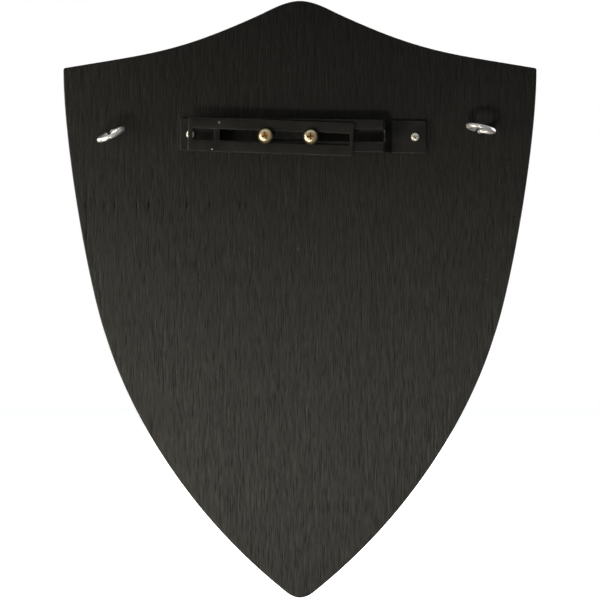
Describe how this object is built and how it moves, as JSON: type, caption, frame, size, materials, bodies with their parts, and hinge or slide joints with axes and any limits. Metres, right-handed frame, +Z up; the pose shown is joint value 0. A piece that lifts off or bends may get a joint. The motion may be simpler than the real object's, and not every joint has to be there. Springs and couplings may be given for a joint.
{
  "type": "shield plaque",
  "caption": "Shield-shaped wooden wall plaque with an adjustable slotted clamp and screw eyes on its black rear face.",
  "frame": {"origin": "on the board's rear face, on its centreline, level with the two screw eyes it hangs by to within 3 mm", "axes": "+Z up the plaque towards its peak, +Y out of the front face, -Y out of the rear face where the hardware is, +X to the right when looking at the rear"},
  "size_m": [0.2804, 0.0369, 0.3535],
  "materials": {
    "black_stained_wood": "black-stained open-pored wood, satin",
    "bracket_black": "black satin paint on steel strap",
    "plate_black": "smooth black satin paint",
    "bar_steel": "plain mill-finish steel",
    "washer_brass": "dull yellow brass",
    "screw_brass": "bright yellow brass",
    "zinc": "bright bluish zinc plate"
  },
  "bodies": {
    "board": {"plaque_board": "black_stained_wood", "bridge_bracket": "bracket_black", "tab_screw_left": "zinc", "tab_screw_right": "zinc", "screw_eye_left": "zinc", "screw_eye_right": "zinc"},
    "clamp_bar": {"clamp_bar": "bar_steel"},
    "slide_plate": {"slide_plate": "plate_black"},
    "washer_left": {"clamp_washer_left": "washer_brass"},
    "washer_right": {"clamp_washer_right": "washer_brass"},
    "screw_left": {"clamp_screw_left": "screw_brass"},
    "screw_right": {"clamp_screw_right": "screw_brass"}
  },
  "joints": [
    {"name": "clamp_slide", "type": "slide", "parent": "board", "child": "clamp_bar", "axis": [0.9999, 0, -0.0108], "range_m": [-0.015, 0.022]},
    {"name": "plate_slide", "type": "slide", "parent": "clamp_bar", "child": "slide_plate", "axis": [0.9993, 0, -0.0366], "range_m": [-0.0205, 0.0405]},
    {"name": "screw_left_lift", "type": "slide", "parent": "clamp_bar", "child": "washer_left", "axis": [0, -1, 0], "range_m": [0, 0.0014]},
    {"name": "screw_left_turn", "type": "hinge", "parent": "washer_left", "child": "screw_left", "pos_m": [-0.0203, -0.0136, -0.0012], "axis": [0, -1, 0], "range_deg": [0, 720]},
    {"name": "screw_right_lift", "type": "slide", "parent": "clamp_bar", "child": "washer_right", "axis": [0, -1, 0], "range_m": [0, 0.0014]},
    {"name": "screw_right_turn", "type": "hinge", "parent": "washer_right", "child": "screw_right", "pos_m": [0.0063, -0.0136, -0.00175], "axis": [0, -1, 0], "range_deg": [0, 720]}
  ],
  "couplings": [
    {"joint": "screw_left_turn", "follows": "screw_left_lift", "rad_per_m": 8976},
    {"joint": "screw_right_turn", "follows": "screw_right_lift", "rad_per_m": 8976}
  ]
}
